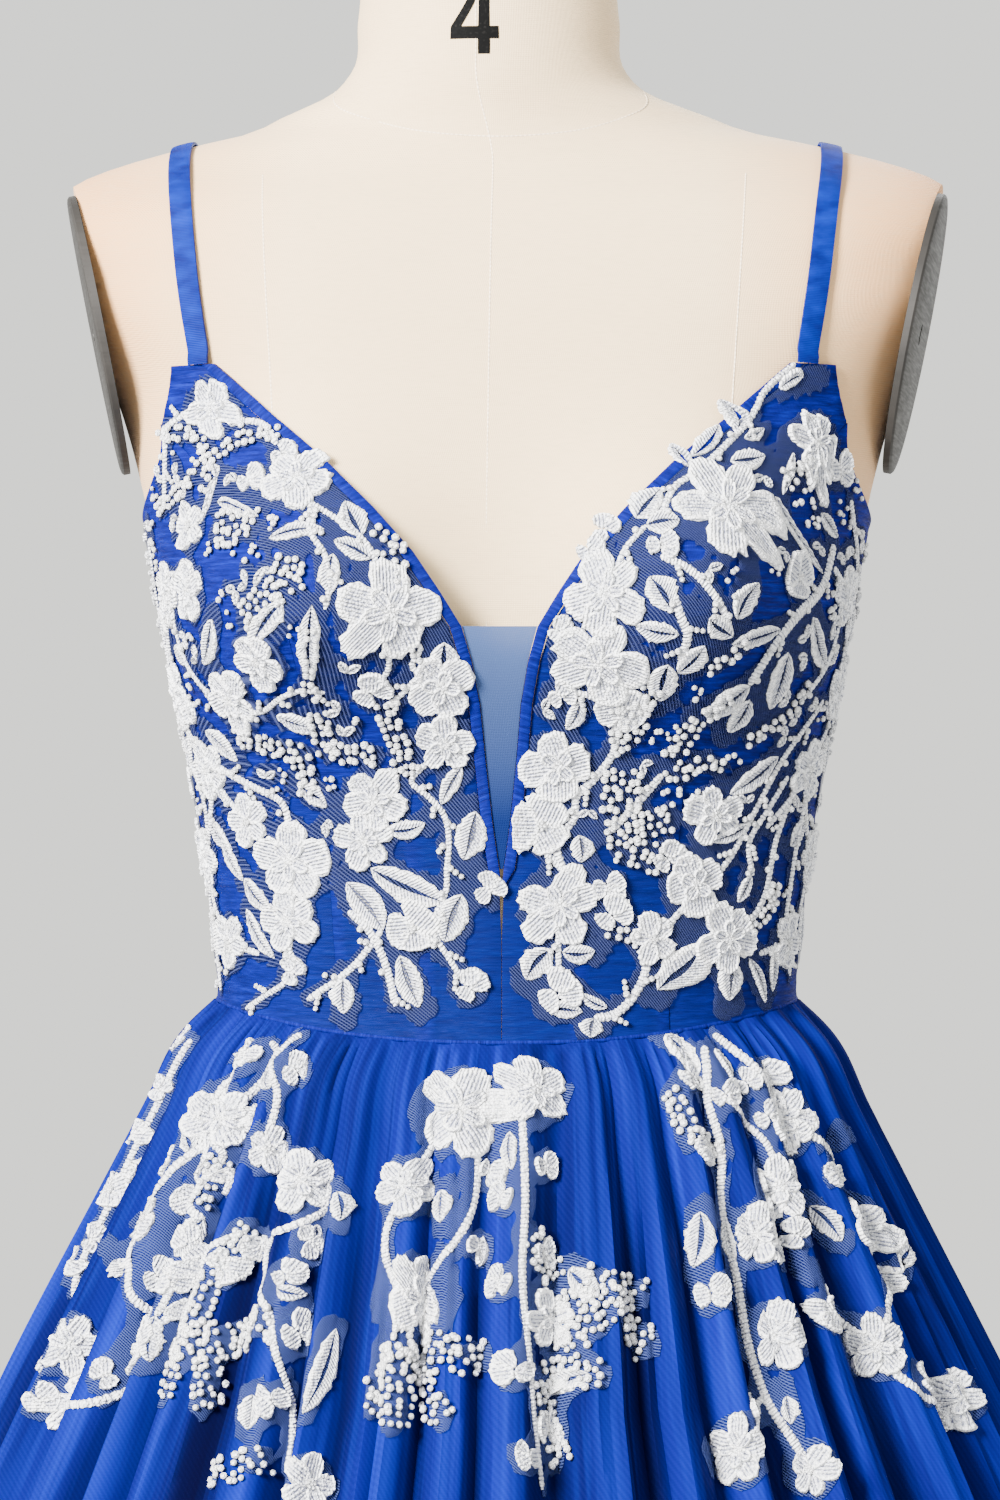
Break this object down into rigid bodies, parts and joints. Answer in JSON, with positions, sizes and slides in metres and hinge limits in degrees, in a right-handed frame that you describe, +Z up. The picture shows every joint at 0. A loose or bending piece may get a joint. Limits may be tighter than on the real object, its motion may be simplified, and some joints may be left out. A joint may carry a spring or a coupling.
{
  "type": "homecoming dress on a dress form",
  "caption": "Short strapped dress with a deep V neckline, mesh insert, gathered tulle skirt and lace applique, on a limbless dress form with a pole stand.",
  "frame": {"origin": "middle of the base's underside, on the floor", "axes": "+Z up, -Y the front of the dress, +X to the right as seen from the front"},
  "size_m": [0.7077, 0.6317, 1.5383],
  "materials": {
    "blue_mesh": "crinkled fine mesh over a lining, soft sheen",
    "blue_tulle": "matt tulle in layers",
    "insert_mesh": "semi-sheer fine mesh",
    "white_lace": "embroidered thread on net",
    "form_linen": "plain woven linen, matt",
    "form_metal": "dark grey, satin"
  },
  "bodies": {
    "root": {"back_zip": "blue_mesh", "bodice_back_left": "blue_mesh", "bodice_back_right": "blue_mesh", "bodice_front_left": "blue_mesh", "bodice_front_right": "blue_mesh", "bodice_side_left": "blue_mesh", "bodice_side_right": "blue_mesh", "form_arm_plate_left": "form_metal", "form_arm_plate_right": "form_metal", "form_base": "form_metal", "form_neck_cap": "form_metal", "form_pole": "form_metal", "form_torso": "form_linen", "lace_bodice_left": "white_lace", "lace_bodice_right": "white_lace", "lace_skirt_left": "white_lace", "lace_skirt_middle": "white_lace", "lace_skirt_right": "white_lace", "mesh_insert": "insert_mesh", "neck_binding_left": "blue_mesh", "neck_binding_right": "blue_mesh", "skirt_back_left": "blue_tulle", "skirt_back_right": "blue_tulle", "skirt_front": "blue_tulle", "strap_left": "blue_mesh", "strap_right": "blue_mesh"}
  },
  "joints": []
}
